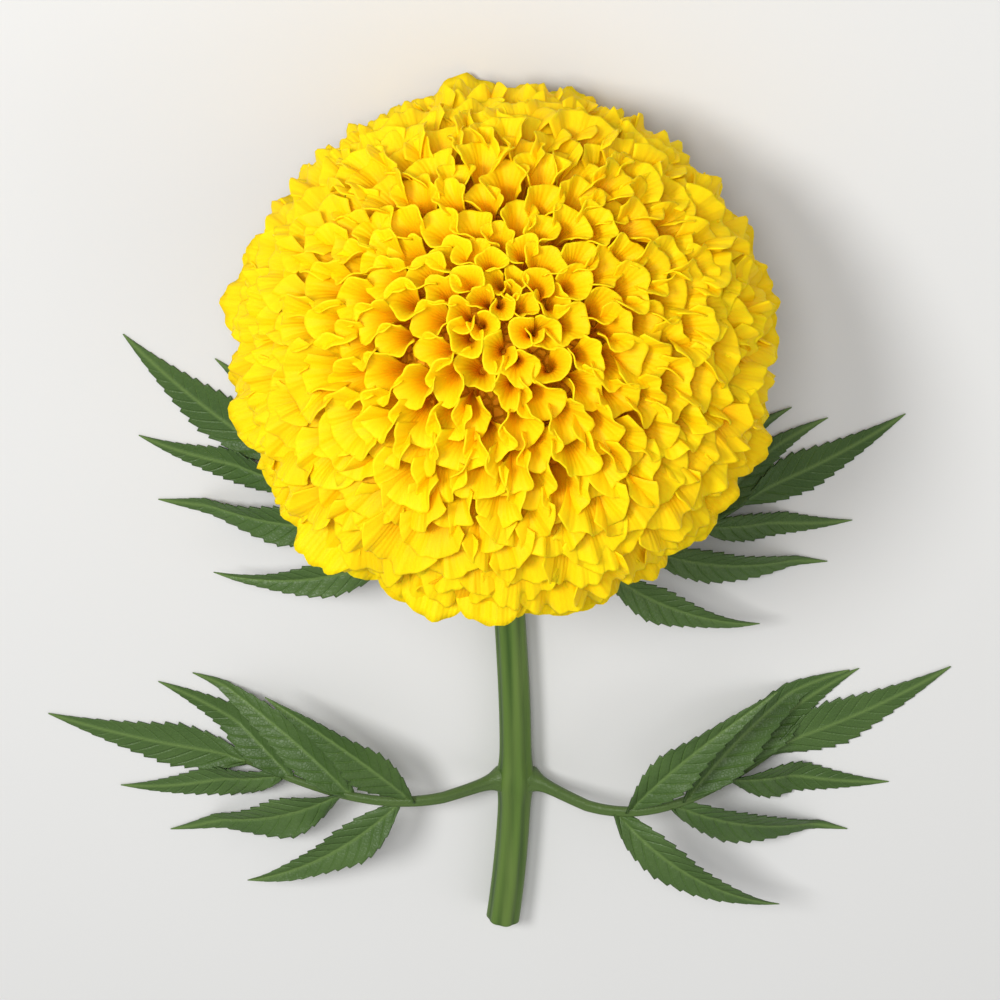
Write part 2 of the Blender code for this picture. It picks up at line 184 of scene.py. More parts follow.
# The leaves, as in the solids: the run along the stem, the side, the heading and its turn, the length of
# the rachis, the pairs of leaflets, the longest leaflet and the height of the arch.
Leaf = namedtuple("Leaf", "run hand heading turn rachis pairs longest arch")
LEAVES = {
    "leaf_upper_left": Leaf(25, -1, 70, 20, 44, 3, 36, 8),
    "leaf_upper_right": Leaf(25, 1, 76, 8, 40, 3, 34, 7),
    "leaf_lower_left": Leaf(72, -1, 92, 12, 46, 3, 38, 8),
    "leaf_lower_right": Leaf(72, 1, 98, 30, 44, 3, 39, 10),
}
LEAF_THICKNESS = 0.3
LEAF_CONTACT = 0.8
RACHIS_BASE_RADIUS = 1.3
RACHIS_TIP_RADIUS = 0.6
RACHIS_TIP_HEIGHT = 2.2
RACHIS_ROWS = 60
RACHIS_COLUMNS = 20
PETIOLE_SHARE = 0.28
LEAFLET_WIDTH_SHARE = 0.24
LEAFLET_WIDEST = 0.38
LEAFLET_ANGLE = math.radians(52)
LEAFLET_CLOSING = math.radians(8)
LEAFLET_BOW = math.radians(26)
LEAFLET_FOLD = math.radians(18)
LEAFLET_TEETH = 15
ROWS_A_TOOTH = 6
LEAFLET_COLUMNS = 16
LEAFLET_TOOTH = 0.19

# Where a leaf starts in the stem: its rows there, how often its bend out of the stem is smoothed, how
# much it widens at the stem, and how fast that ends.
ROOT_ROWS = 12
ROOT_SMOOTHINGS = 60
ROOT_FLARE = 1.1
ROOT_FLARE_REACH = 1.3

# How far leaflets stray: in their swing off the rachis, in size and in how far they bow.
LEAFLET_SWING_STRAY = 0.05
LEAFLET_SIZE_STRAY = 0.04
LEAFLET_BOW_STRAY = 0.3

# The camera: its lean off the vertical towards the face's side, its distance from what it looks at, and
# its lens, in metres and millimetres.
CAMERA_LEAN = math.radians(32)
CAMERA_DISTANCE = 0.75
CAMERA_AIM = (-0.0006, -0.061, 0.014)
CAMERA_SENSOR = 36
CAMERA_LENS = 155

# The light all round, and for each lamp its place, size, power and what it is aimed at.
WORLD_STRENGTH = 0.4
LIGHTS = {
    "key": ((-0.45, 0.4, 0.8), 0.3, 6.6, (0, -0.05, 0.02)),
    "fill": ((0.7, -0.3, 0.6), 0.7, 1.1, (0, -0.05, 0.02)),
    "front": ((-0.06, 0.36, 0.68), 0.2, 1.9, (0, -0.03, 0.03)),
}


def unit(vectors):
    return vectors / (np.linalg.norm(vectors, axis=-1, keepdims=True) + 1e-12)


def blend(low, high, share, power=1.0):
    return low + (high - low) * share**power


def stray(dice, share):
    """A random factor within a share of 1."""
    return dice.uniform(1 - share, 1 + share)


def from_head(points):
    """Moves points in millimetres from the head's own frame to where the head lies."""
    lean = HEAD_TILT - math.pi / 2
    y = points[..., 1] - HEAD_REST[0]
    z = points[..., 2] - HEAD_REST[1]
    moved = np.empty_like(points)
    moved[..., 0] = points[..., 0]
    moved[..., 1] = y * math.cos(lean) - z * math.sin(lean)
    moved[..., 2] = y * math.sin(lean) + z * math.cos(lean)
    return moved


def on_surface(points, softness, lowest):
    """Flattens on a lowest height what would reach below it, with a smooth run-in."""
    pressed = points.copy()
    above = points[..., 2] - lowest
    low = above < softness
    pressed[..., 2][low] = lowest + softness * np.exp((above[low] - softness) / softness)
    return pressed


class Shape:
    """Gathers closed surfaces in millimetres, with values for the material, into one mesh object."""

    def __init__(self):
        self.points = []
        self.faces = []
        self.values = []
        self.count = 0

    def add(self, points, faces, **values):
        self.points.append(points.reshape(-1, 3))
        self.faces.extend(faces + self.count)
        self.values.append({name: np.asarray(value, float).ravel() for name, value in values.items()})
        self.count += len(self.points[-1])

    def build(self, name, nodes, material):
        points = np.concatenate(self.points) * MM
        mesh = bpy.data.meshes.new(name)
        faces = np.array(self.faces, np.int32)
        mesh.vertices.add(len(points))
        mesh.vertices.foreach_set("co", points.astype(np.float32).ravel())
        mesh.loops.add(faces.size)
        mesh.loops.foreach_set("vertex_index", faces.ravel())
        mesh.polygons.add(len(faces))
        mesh.polygons.foreach_set("loop_start", np.arange(len(faces), dtype=np.int32) * 4)
        mesh.polygons.foreach_set("use_smooth", np.ones(len(faces), bool))
        mesh.update(calc_edges=True)
        for key in self.values[0]:
            values = np.concatenate([each[key] for each in self.values])
            attribute = mesh.attributes.new(key, "FLOAT", "POINT")
            attribute.data.foreach_set("value", values.astype(np.float32))
        mesh.materials.append(material)
        piece = bpy.data.objects.new(name, mesh)
        bpy.context.scene.collection.objects.link(piece)
        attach(piece, "root")
        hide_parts(*nodes)
        return piece


def grid_faces(rows, columns):
    """(faces of a grid, its rim in order)"""
    index = np.arange(rows * columns).reshape(rows, columns)
    corners = (index[:-1, :-1], index[:-1, 1:], index[1:, 1:], index[1:, :-1])
    faces = np.stack([corner.ravel() for corner in corners], 1)
    rim = np.concatenate([index[0, :], index[1:, -1], index[-1, -2::-1], index[-2:0:-1, 0]])
    return faces, rim


def add_blades(shape, middle, thickness, **values):
    """Adds blades given by their middle surfaces, (blade, row, column, xyz), as thin closed shells."""
    blades, rows, columns, _ = middle.shape
    normal = unit(np.cross(np.gradient(middle, axis=2), np.gradient(middle, axis=1)))
    half = np.broadcast_to(thickness, middle.shape[:3])[..., None] / 2
    front_points = (middle + normal * half).reshape(blades, -1, 3)
    back_points = (middle - normal * half).reshape(blades, -1, 3)
    points = np.concatenate([front_points, back_points], 1)
    front, rim = grid_faces(rows, columns)
    back = front[:, ::-1] + rows * columns
    after = np.roll(rim, -1)
    edge = np.stack([after, rim, rim + rows * columns, after + rows * columns], 1)
    faces = np.concatenate([front, back, edge])
    faces = (faces[None] + (np.arange(blades) * 2 * rows * columns)[:, None, None]).reshape(-1, 4)
    both = {}
    for name, value in values.items():
        one = np.broadcast_to(value, middle.shape[:3]).reshape(blades, -1)
        both[name] = np.concatenate([one, one], 1)
    top = np.zeros((blades, 2 * rows * columns))
    top[:, : rows * columns] = 1
    shape.add(points, faces, top=top, **both)


def envelope(angle, turn):
    """(point, outward normal) of the head's outer form, for angles from the middle of its face."""
    height = np.where(angle < math.pi / 2, DOME_HEIGHT, EDGE_DEPTH)[:, None]
    radial = np.stack([np.cos(turn), np.sin(turn), np.zeros_like(turn)], 1)
    up = np.array([0.0, 0.0, 1.0])
    sine, cosine = np.sin(angle)[:, None], np.cos(angle)[:, None]
    point = radial * HEAD_RADIUS * sine + up * height * cosine
    return point, unit(radial * height * sine + up * HEAD_RADIUS * cosine)


def held_in(points):
    """Draws what stands out of the head's outer form back to it, by more the further it stands out."""
    height = np.where(points[..., 2] > 0, DOME_HEIGHT, EDGE_DEPTH)
    radius = np.hypot(points[..., 0], points[..., 1])
    reach = np.hypot(radius / HEAD_RADIUS, points[..., 2] / height)
    over = np.maximum(reach - 1, 0)
    held = np.minimum(reach, 1) + STANDING_OUT * np.tanh(over / STANDING_OUT)
    return points * (held / reach)[..., None]


def form(measure, share):
    """A measure of the florets at shares of the way from the crown to the edge."""
    return np.interp(share, FLORET_STATIONS, FLORET_FORM[measure])


def floret_places():
    """Arrays of the angle and turn of each floret, in the golden spiral of a marigold head."""
    places = []
    step = math.radians(0.05)
    angle, due = 0.0, 0.5
    while angle < LAST_ANGLE:
        height = DOME_HEIGHT if angle < math.pi / 2 else EDGE_DEPTH
        path = step * math.hypot(HEAD_RADIUS * math.cos(angle), height * math.sin(angle))
        cell = ROOM_SHARE * form("spacing", angle / LAST_ANGLE) ** 2
        due -= 2 * math.pi * HEAD_RADIUS * math.sin(angle) * path / cell
        if due <= 0:
            places.append((angle, len(places) * GOLDEN_ANGLE))
            due += 1
        angle += step
    return np.array(places).T


def petal_grid(rows, columns):
    """(shares along, shares across) of a petal's rows and columns, closer at its rim."""
    along = 1 - (1 - np.linspace(0, 1, rows + 1)) ** 1.3
    across = np.sin(np.linspace(-1, 1, columns + 1) * math.pi / 2 * 0.9) / math.sin(math.pi / 2 * 0.9)
    return along, across


def rim_waves(dice, count, u, v):
    """(random waves across each petal that grow towards its rim, how deep its rim is notched)"""
    phase = dice.uniform(0, 2 * math.pi, (3, count, 1, 1))
    slow = dice.uniform(1.2, 1.9, (count, 1, 1)) * math.pi
    quick = dice.uniform(3.0, 4.4, (count, 1, 1)) * math.pi
    calm = 1 - 0.5 * np.abs(u) ** 3
    notches = 1 - np.abs(np.sin(slow * u + phase[2])) ** 0.75
    broad = v**2.4 * (np.sin(slow * u + phase[0]) - 0.5 * notches)
    fine = 0.6 * v**4 * np.sin(quick * u + phase[1])
    flutter = 0.4 * np.abs(u) ** 3 * v * np.sin(3 * v + phase[0] + np.sign(u))
    depth = dice.uniform(0.4, 1.2, (count, 1, 1))
    return calm * (broad + fine) + flutter, calm * v**5 * depth * notches


def bowed(spine, along, out, side, half, curl, extra, sink, u):
    """The middle surfaces of petals: each row is an arc about the spine, open away from out."""
    curl = np.where(np.abs(curl) < 0.02, 0.02, curl)
    swing = u * curl / 2
    radius = 2 * half / curl
    reach = radius + extra
    return (
        spine[:, :, None]
        + out[:, :, None] * (reach * np.cos(swing) - radius)[..., None]
        + side[:, None, None] * (reach * np.sin(swing))[..., None]
        - along[:, :, None] * sink[..., None]
    )


def corner_depth(u):
    """How far a petal's end falls back from its middle towards its sides, for a rounded end."""
    return 1 - np.sqrt(np.clip(1 - 0.97 * np.abs(u) ** 2.1, 0, 1))


def floret_places_strayed(dice):
    """(share, tip, own line, sideways direction) of each floret of the spiral, in the head's frame."""
    angle, turn = floret_places()
    count = len(angle)
    share = angle / LAST_ANGLE
    angle = np.abs(angle + dice.normal(0, ANGLE_STRAY, count))
    turn = turn + dice.normal(0, TURN_STRAY, count)
    tip, normal = envelope(angle, turn)
    tip = tip + normal * (dice.normal(0, HEIGHT_STRAY, count) - form("sunk", share))[:, None]
    side = np.stack([-np.sin(turn), np.cos(turn), np.zeros(count)], 1)
    away = np.cross(side, normal)
    spin = dice.normal(0, SPIN_STRAY, count)
    spin = spin + np.where(share < CROWN_SHARE, dice.uniform(-CROWN_SPIN, CROWN_SPIN, count), 0)
    cosine, sine = np.cos(spin)[:, None], np.sin(spin)[:, None]
    away, side = away * cosine + side * sine, side * cosine - away * sine
    onward = away * dice.normal(0, SIDE_STRAY, (count, 1))
    normal = unit(normal + onward + side * dice.normal(0, SIDE_STRAY, (count, 1)))
    side = unit(side - normal * np.sum(side * normal, 1, keepdims=True))
    return share, tip, normal, side


def floret_spines(dice, share, size, tip, normal, side, v):
    """(points, directions along, directions out) of the florets' middle lines, row by row."""
    away = np.cross(side, normal)
    length = form("length", share) * size
    lean = (np.radians(form("lean", share)) + dice.normal(0, LEAN_STRAY, len(share)))[:, None]
    bend = (np.radians(form("bend", share)) * dice.normal(1, BEND_STRAY, len(share)))[:, None]
    leaned = lean + bend * v ** blend(2.0, 1.6, share)[:, None]
    step = length[:, None] * np.diff(v, prepend=0)
    high = np.cumsum(np.cos(leaned) * step, 1)
    outward = np.cumsum(np.sin(leaned) * step, 1)
    high -= high.max(1, keepdims=True)
    outward -= outward[:, int(LEAN_PIVOT * FLORET_ROWS), None]
    cosine, sine = np.cos(leaned)[..., None], np.sin(leaned)[..., None]
    spine = tip[:, None] + normal[:, None] * high[..., None] + away[:, None] * outward[..., None]
    along = normal[:, None] * cosine + away[:, None] * sine
    out = away[:, None] * cosine - normal[:, None] * sine
    return spine, along, out


def floret_rims(dice, share, half_tip, curl, u, v):
    """(how far florets flare and wave out of their arcs, how far their ends fall back)"""
    lip = (form("lip", share) * dice.normal(1, LIP_STRAY, len(share)))[:, None, None]
    waves, notches = rim_waves(dice, len(share), u, v)
    flare = lip * v**4 * (0.62 + 0.38 * np.cos(u * curl / 2))
    extra = flare + (form("wave", share) * form("spacing", share))[:, None, None] * waves
    rounding = (form("rounding", share) * half_tip)[:, None, None] * corner_depth(u) * v**1.6
    sink = rounding + 0.45 * np.maximum(flare, 0) + form("notch", share)[:, None, None] * notches
    return extra, sink


def spiral_florets(dice):
    """The florets of the spiral as (floret, row, column, xyz) in the head's frame, and their share."""
    share, tip, normal, side = floret_places_strayed(dice)
    along_share, across = petal_grid(FLORET_ROWS, FLORET_COLUMNS)
    v, u = along_share[None, :], across[None, None, :]
    size = dice.normal(1, SIZE_STRAY, len(share))
    spine, along, out = floret_spines(dice, share, size, tip, normal, side, v)
    half_tip = form("spacing", share) * form("half", share) * size
    half = half_tip[:, None] * blend(BASE_WIDTH, 1.0, v, form("opening", share)[:, None])
    curl_stray = dice.uniform(-CURL_STRAY, CURL_STRAY, len(share))
    curl_tip = np.radians(form("curl_tip", share) + curl_stray)
    curl_base = np.radians(form("curl_base", share))
    curl = (curl_base[:, None] + (curl_tip - curl_base)[:, None] * v**0.8)[:, :, None]
    extra, sink = floret_rims(dice, share, half_tip, curl, u, v[:, :, None])
    middle = bowed(spine, along, out, side, half[:, :, None], curl, extra, sink, u)
    return held_in(middle), share


def skirt_ring(dice, number, points, width):
    """A ring of the skirt's florets as (floret, row, column, xyz) in the head's frame."""
    v, across = petal_grid(SKIRT_ROWS, SKIRT_COLUMNS)
    u = across[None, None, :]
    place = np.arange(number) + dice.uniform(-SKIRT_PLACE_STRAY, SKIRT_PLACE_STRAY, number)
    turn = place * 2 * math.pi / number + dice.uniform(0, 6)
    radial = np.stack([np.cos(turn), np.sin(turn), np.zeros(number)], 1)
    side = np.stack([-np.sin(turn), np.cos(turn), np.zeros(number)], 1)
    weights = np.stack([(1 - v) ** 2, 2 * v * (1 - v), v**2], 1)
    line = weights @ np.array(points)
    slope = unit(np.gradient(line, axis=0))
    up = np.array([0.0, 0.0, 1.0])
    lift = dice.uniform(-SKIRT_LIFT_STRAY, SKIRT_LIFT_STRAY, number)[:, None] * v**2
    reach = 1 + dice.normal(0, SKIRT_REACH_STRAY, number)[:, None] * v
    spine = radial[:, None] * (line[:, 0] * reach)[..., None] + up * (line[:, 1] + lift)[..., None]
    along = radial[:, None] * slope[:, 0, None] + up * slope[:, 1, None]
    out = radial[:, None] * slope[:, 1, None] - up * slope[:, 0, None]
    size = dice.normal(1, SKIRT_SIZE_STRAY, number)[:, None]
    half = size * width / 2 * (0.17 + 0.83 * np.clip((v - 0.12) / 0.75, 0, 1) ** 1.2)
    curl = np.radians(dice.normal(SKIRT_CURL, SKIRT_CURL_STRAY, number))[:, None] * (1 - 1.5 * v)
    v3 = v[None, :, None]
    waves, notches = rim_waves(dice, number, u, v3)
    sink = 0.46 * width * corner_depth(u) * v3**2.6 + 0.9 * notches
    ripple = 0.055 * width * waves
    return bowed(spine, along, out, side, half[:, :, None], curl[:, :, None], ripple, sink, u)


def skirt_florets(dice):
    """The reflexed florets of the skirt, which spread from the calyx under the head."""
    return np.concatenate([skirt_ring(dice, *ring) for ring in SKIRT_RINGS])


def make_florets(material):
    """The florets in pieces, with their places along and across, and a tone each, for the material."""
    dice = np.random.default_rng(SEED)
    spiral, share = spiral_florets(dice)
    skirt = skirt_florets(dice)
    parts = math.ceil(len(spiral) / FLORETS_A_PIECE)
    groups = [
        (f"florets_{part + 1}", spiral[members], share[members])
        for part, members in enumerate(np.array_split(np.arange(len(spiral)), parts))
    ]
    groups.append(("florets_skirt", skirt, np.ones(len(skirt))))
    for name, middle, place in groups:
        along, across = petal_grid(middle.shape[1] - 1, middle.shape[2] - 1)
        # The orange towards the petals' bases is partly their own colour and partly painted shade for the
        # throats and gaps; the edge's florets get less of it.
        pale = BASE_ORANGE_AND_SHADE_PALING * place[:, None, None]
        tone = dice.uniform(0, 1, len(middle))[:, None, None]
        pressed = on_surface(from_head(middle), CONTACT, PETAL_THICKNESS / 2)
        shape = Shape()
        add_blades(
            shape, pressed, PETAL_THICKNESS,
            along=pale + (1 - pale) * along[None, :, None], across=across[None, None, :], tone=tone,
        )
        shape.build(name, ("florets",), material)


def tube_faces(rows, columns):
    """Faces of rows that close on themselves, with each end closed by folding its ring flat."""
    index = np.arange(rows * columns).reshape(rows, columns)
    after = np.roll(index, -1, axis=1)
    sides = np.stack([index[:-1].ravel(), after[:-1].ravel(), after[1:].ravel(), index[1:].ravel()], 1)
    caps = []
    for row, order in ((0, 1), (rows - 1, -1)):
        ring = index[row]
        for step in range(columns // 2 - 1):
            quad = [ring[step], ring[columns - 1 - step], ring[columns - 2 - step], ring[step + 1]]
            caps.append(quad[::order])
    return np.concatenate([sides, np.array(caps)])


def make_core(material):
    """What shows between the florets' bases: the dome of their tubes, and the bundle in the calyx."""
    turn = np.arange(CORE_COLUMNS) * 2 * math.pi / CORE_COLUMNS
    above = np.linspace(0.01, math.pi / 2, CORE_ROWS)
    below = np.linspace(math.pi / 2, 2.9, CORE_UNDER_ROWS)[1:]
    radius = HEAD_RADIUS - CORE_DEPTH
    top = [(radius * math.sin(a), (DOME_HEIGHT - CORE_DEPTH) * math.cos(a)) for a in above]
    under = [(radius * math.sin(a), CORE_BOTTOM * math.cos(a)) for a in below]
    rows = np.array((top + under + list(BUNDLE_PROFILE))[::-1])
    points = np.stack([
        rows[:, :1] * np.cos(turn), rows[:, :1] * np.sin(turn), rows[:, 1:] * np.ones_like(turn)
    ], -1)
    shape = Shape()
    shape.add(from_head(points), tube_faces(*points.shape[:2]))
    shape.build("floret_core", ("florets",), material)


def calyx_line():
    """(shares up the calyx's outside, radii, heights) with its corners softened"""
    knots = np.array(CALYX_PROFILE)
    lengths = np.concatenate([[0], np.cumsum(np.linalg.norm(np.diff(knots, axis=0), axis=1))])
    share = np.linspace(0, 1, CALYX_ROWS)
    radius = np.interp(share * lengths[-1], lengths, knots[:, 0])
    height = np.interp(share * lengths[-1], lengths, knots[:, 1])
    for values in (radius, height):
        values[1:-1] = (values[:-2] + 2 * values[1:-1] + values[2:]) / 4
    return share, radius, height


def calyx_outside(keel):
    """(shares up the outside, radii and heights by row and column) with the ribs and the teeth"""
    share, radius, height = calyx_line()
    tooth = keel**2.2
    swell = np.sin(math.pi * np.clip(share * 1.02, 0, 1)) ** 0.7
    ribbed = radius[:, None] + CALYX_RIB * (keel**0.8 + 0.25 * keel**14) * swell[:, None]
    rise = np.clip((share - 0.55) / 0.45, 0, 1) ** 2.4
    spread = 0.35 * np.clip((share - 0.8) / 0.2, 0, 1)[:, None] ** 2 * tooth
    return share, ribbed + spread, height[:, None] + CALYX_TOOTH * tooth * rise[:, None]


def make_calyx(material):
    """The ribbed cup: up its outside, over its teeth and down its inside."""
    columns = CALYX_COLUMNS_A_TOOTH * CALYX_TEETH
    turn = np.arange(columns) * 2 * math.pi / columns
    keel = np.abs(np.cos(CALYX_TEETH * turn / 2))
    share, outer_radius, outer_height = calyx_outside(keel)
    inner = share > 0.12
    inner_radius = np.maximum(outer_radius[inner] - CALYX_WALL, 0.25)
    inner_height = outer_height[inner] + np.clip(0.5 - share[inner], 0, 1)[:, None] * CALYX_WALL * 2
    radii = np.concatenate([outer_radius, inner_radius[::-1], inner_radius[:1] * 0.05])
    heights = np.concatenate([outer_height, inner_height[::-1], inner_height[:1]])
    points = np.stack([radii * np.cos(turn), radii * np.sin(turn), heights], -1)
    along = np.concatenate([share, share[inner][::-1], [0.0]])
    ones = np.ones((len(along), columns))
    shape = Shape()
    shape.add(
        from_head(points), tube_faces(*points.shape[:2]),
        keel=keel * ones, along=along[:, None] * ones, turn=turn * ones,
    )
    shape.build("calyx_cup", ("calyx",), material)


def stem_bend():
    """(where the stem begins to bend, the bend's radius)"""
    start = from_head(np.array([0.0, 0.0, STEM_START - STEM_STRAIGHT]))
    return start, (start[2] - STEM_HEIGHT) / (1 - math.cos(HEAD_TILT))


def stem_level():
    """How far along the stem it becomes level."""
    return STEM_STRAIGHT + stem_bend()[1] * HEAD_TILT


def stem_point(distance):
    """The stem's middle at a distance along it."""
    start, radius = stem_bend()
    straight = max(0.0, STEM_STRAIGHT - distance)
    left = HEAD_TILT * (1 - min(1.0, max(0.0, distance - STEM_STRAIGHT) / (radius * HEAD_TILT)))
    run = max(0.0, distance - stem_level())
    sway = STEM_SWAY * math.sin(math.pi * run / STEM_RUN) * (run / STEM_RUN)
    across = radius * (math.sin(HEAD_TILT) - math.sin(left)) - straight * math.cos(HEAD_TILT)
    down = radius * (math.cos(left) - math.cos(HEAD_TILT)) - straight * math.sin(HEAD_TILT)
    return np.array([sway, start[1] - across - run, start[2] - down])


def stem_radius(distance):
    level = stem_level()
    neck = (STEM_TOP_RADIUS - STEM_RADIUS) * max(0.0, 1 - distance / STEM_TAPER) ** 1.6
    foot = (STEM_CUT_RADIUS - STEM_RADIUS) * max(0.0, distance - level) / STEM_RUN
    nodes = {level + leaf.run for leaf in LEAVES.values()}
    swell = sum(math.exp(-(((distance - node) / NODE_REACH) ** 2)) for node in nodes)
    return STEM_RADIUS + neck + foot + NODE_SWELL * swell


def swept(points, radii, columns, relief=None):
    """Rows of a tube along points in millimetres, with an optional relief for each row and column."""
    tangent = unit(np.gradient(points, axis=0))
    side = unit(np.cross(tangent, np.array([0.0, 0.0, 1.0])))
    up = np.cross(side, tangent)
    turn = np.arange(columns) * 2 * math.pi / columns
    radius = radii[:, None] + (0 if relief is None else relief)
    ring = side[:, None] * np.cos(turn)[:, None] + up[:, None] * np.sin(turn)[:, None]
    return points[:, None] + ring * radius[..., None]


def make_stem(material):
    """The ridged stem, from inside the calyx's base to its cut end with the pale pith."""
    distance = np.linspace(-1.2, stem_level() + STEM_RUN, STEM_ROWS)
    points = np.array([stem_point(d) for d in distance])
    radii = np.array([stem_radius(d) for d in distance])
    radii[:3] *= (0.8, 0.93, 0.98)
    turn = np.arange(STEM_COLUMNS) * 2 * math.pi / STEM_COLUMNS
    ridges = np.abs(np.cos(STEM_RIDGES * turn / 2)) ** 1.5
    drift = 0.02 * np.sin(distance[:, None] / 7 + 3 * turn)
    relief = RIDGE_HEIGHT * (ridges - 0.6) * np.clip(distance / 12, 0.2, 1)[:, None] + drift
    body = swept(points, radii, STEM_COLUMNS, relief)
    end = body[-1]
    middle = end.mean(0)
    rings = [middle + (end - middle) * size + np.array([0, depth, 0]) for size, depth, _ in CUT_RINGS]
    body = np.concatenate([body, np.array(rings)])
    cut = np.concatenate([np.zeros(STEM_ROWS), [pale for _, _, pale in CUT_RINGS]])
    ones = np.ones(body.shape[:2])
    shape = Shape()
    shape.add(
        body, tube_faces(*body.shape[:2])[:, ::-1], cut=cut[:, None] * ones, ridge=ridges * ones,
    )
    shape.build("stem_ridged", ("stem",), material)


def rachis_line(leaf):
    """The middle line of a leaf's petiole and rachis, from inside the stem to the last leaflet."""
    heading, turn = math.radians(leaf.heading), math.radians(leaf.turn)
    distance = stem_level() + leaf.run
    clearance = 0.3 + RACHIS_BASE_RADIUS * (abs(math.cos(heading)) + 0.1)
    root = stem_point(distance) + np.array([leaf.hand * (stem_radius(distance) + clearance), 0, 0])
    share = np.linspace(0, 1, RACHIS_ROWS)
    angle = heading - turn * share
    step = leaf.rachis / (RACHIS_ROWS - 1)
    x = root[0] + leaf.hand * np.concatenate([[0], np.cumsum(np.sin(angle[:-1]) * step)])
    y = root[1] + np.concatenate([[0], np.cumsum(np.cos(angle[:-1]) * step)])
    z = root[2] + leaf.arch * np.sin(math.pi * share**0.8) - (root[2] - RACHIS_TIP_HEIGHT) * share
    return np.stack([x, y, z], 1)


def at_share(line, share):
    """(point, direction) at a share of a line."""
    place = share * (len(line) - 1)
    low = min(int(place), len(line) - 2)
    point = line[low] + (line[low + 1] - line[low]) * (place - low)
    return point, unit(line[low + 1] - line[low])


def leaflet_outline(v, edge, length):
    """(half a leaflet's width without its teeth, with them, how far the teeth lead)"""
    rising = 0.12 + 0.88 * np.sin(math.pi / 2 * np.minimum(v / LEAFLET_WIDEST, 1))
    falling = 0.02 + 0.98 * np.clip((1 - v) / (1 - LEAFLET_WIDEST), 0, 1) ** 1.1
    half = length * LEAFLET_WIDTH_SHARE / 2 * np.where(v < LEAFLET_WIDEST, rising, falling)
    tooth = ((np.arange(len(v)) + 2) % ROWS_A_TOOTH)[:, None] / ROWS_A_TOOTH
    depth = LEAFLET_TOOTH * np.sin(math.pi * np.clip(0.04 + v, 0, 1)) ** 0.5
    rim = edge**5
    return half, half * (1.04 - depth * (1 - tooth) * rim), 0.4 * half * depth * tooth * rim


def leaflet_sway(dice, u, v, half, length):
    """How high a leaflet's surface stands by its droop, its fold, its roll and its waves."""
    droop = length * (0.12 * v - 0.26 * v * v)
    fold = half * (np.sqrt(u * u + 0.02) - 0.14) * math.tan(LEAFLET_FOLD)
    roll = half * u * math.tan(dice.uniform(-0.3, 0.3)) * v
    swings = 1.7 * v + dice.uniform(0, 1) + 0.2 * u
    wave = 0.028 * length * np.sin(2 * math.pi * swings) * np.abs(u) ** 2 * (1 - v)
    return droop + fold + roll + wave


def leaflet_middle(base, along, length, bow, dice):
    """(a leaflet's middle surface, its thickness, its values for the material) by row and column."""
    v = np.linspace(0, 1, LEAFLET_TEETH * ROWS_A_TOOTH + 1)[:, None]
    u = np.linspace(-1, 1, LEAFLET_COLUMNS + 1)[None, :]
    edge = np.abs(u)
    half, wide, lead = leaflet_outline(v, edge, length)
    veins = 0.8 * LEAFLET_TEETH * v - edge * half / 2.4 - 0.3 * edge**2 + 3 + dice.uniform(0, 1)
    within = np.clip(edge * half / 0.8, 0, 1) * (1 - edge**4) * (1 - v**3)
    quilt = np.abs(np.sin(math.pi * veins)) ** 0.7 * within
    midrib = np.exp(-((u * half / 0.4) ** 2)) * np.ones_like(v)
    height = leaflet_sway(dice, u, v, half, length) + 0.24 * quilt - 0.2 * midrib

    side = unit(np.cross(np.array([0.0, 0.0, 1.0]), along))
    cosine, sine = np.cos(bow * v)[..., None], np.sin(bow * v)[..., None]
    rib = base + (along * sine + side * (1 - cosine)) * length / bow
    ahead = along * cosine + side * sine
    across = side * cosine - along * sine
    middle = rib + across * (wide * u)[..., None] + ahead * lead[..., None]
    middle[..., 2] += height
    thickness = LEAF_THICKNESS * (1 + 1.2 * midrib * (1 - v)) * (1 - 0.6 * v**6)
    values = {"veins": veins, "within": within, "off_rib": edge * half, "tone": dice.uniform(0, 1)}
    return on_surface(middle, LEAF_CONTACT, LEAF_THICKNESS), thickness, values


def turned_about_z(vector, angle):
    cosine, sine = math.cos(angle), math.sin(angle)
    x, y, z = vector
    return np.array([x * cosine - y * sine, x * sine + y * cosine, z])


def add_leaflet(shape, dice, line, share, swing, size, bow):
    """Adds the leaflet at a share of the rachis, swung off its line."""
    point, ahead = at_share(line, share)
    swing = swing + dice.uniform(-LEAFLET_SWING_STRAY, LEAFLET_SWING_STRAY)
    along = unit(turned_about_z(ahead, swing))
    length = size * stray(dice, LEAFLET_SIZE_STRAY)
    middle, thickness, values = leaflet_middle(point, along, length, bow, dice)
    add_blades(shape, middle[None], thickness[None], **values)


def add_rachis(shape, line, distance):
    """Adds the petiole and rachis along a line, with their root in the stem at a distance along it."""
    root = stem_point(distance)
    inside = root + (line[0] - root) * np.linspace(0, 0.92, ROOT_ROWS)[:, None]
    full = np.concatenate([inside, line])
    end = 2 * ROOT_ROWS
    for _ in range(ROOT_SMOOTHINGS):
        full[1:end] = (full[: end - 1] + 2 * full[1:end] + full[2 : end + 1]) / 4
    radii = np.linspace(RACHIS_BASE_RADIUS, RACHIS_TIP_RADIUS, len(full))
    from_stem = np.linalg.norm(full - root, axis=1) - stem_radius(distance)
    radii += ROOT_FLARE * np.exp(-np.clip(from_stem, -0.3, None) / ROOT_FLARE_REACH)
    around = np.arange(RACHIS_COLUMNS) * 2 * math.pi / RACHIS_COLUMNS
    channel = -0.22 * np.exp(-(((around - math.pi / 2) / 0.5) ** 2))
    tube = swept(full, radii, RACHIS_COLUMNS, channel * radii[:, None] * 1.4)
    blank = np.zeros(tube.shape[:2])
    shape.add(
        tube, tube_faces(*tube.shape[:2])[:, ::-1],
        top=blank + 1, veins=blank + 0.5, within=blank, off_rib=blank + 0.2, tone=blank + 0.5,
    )


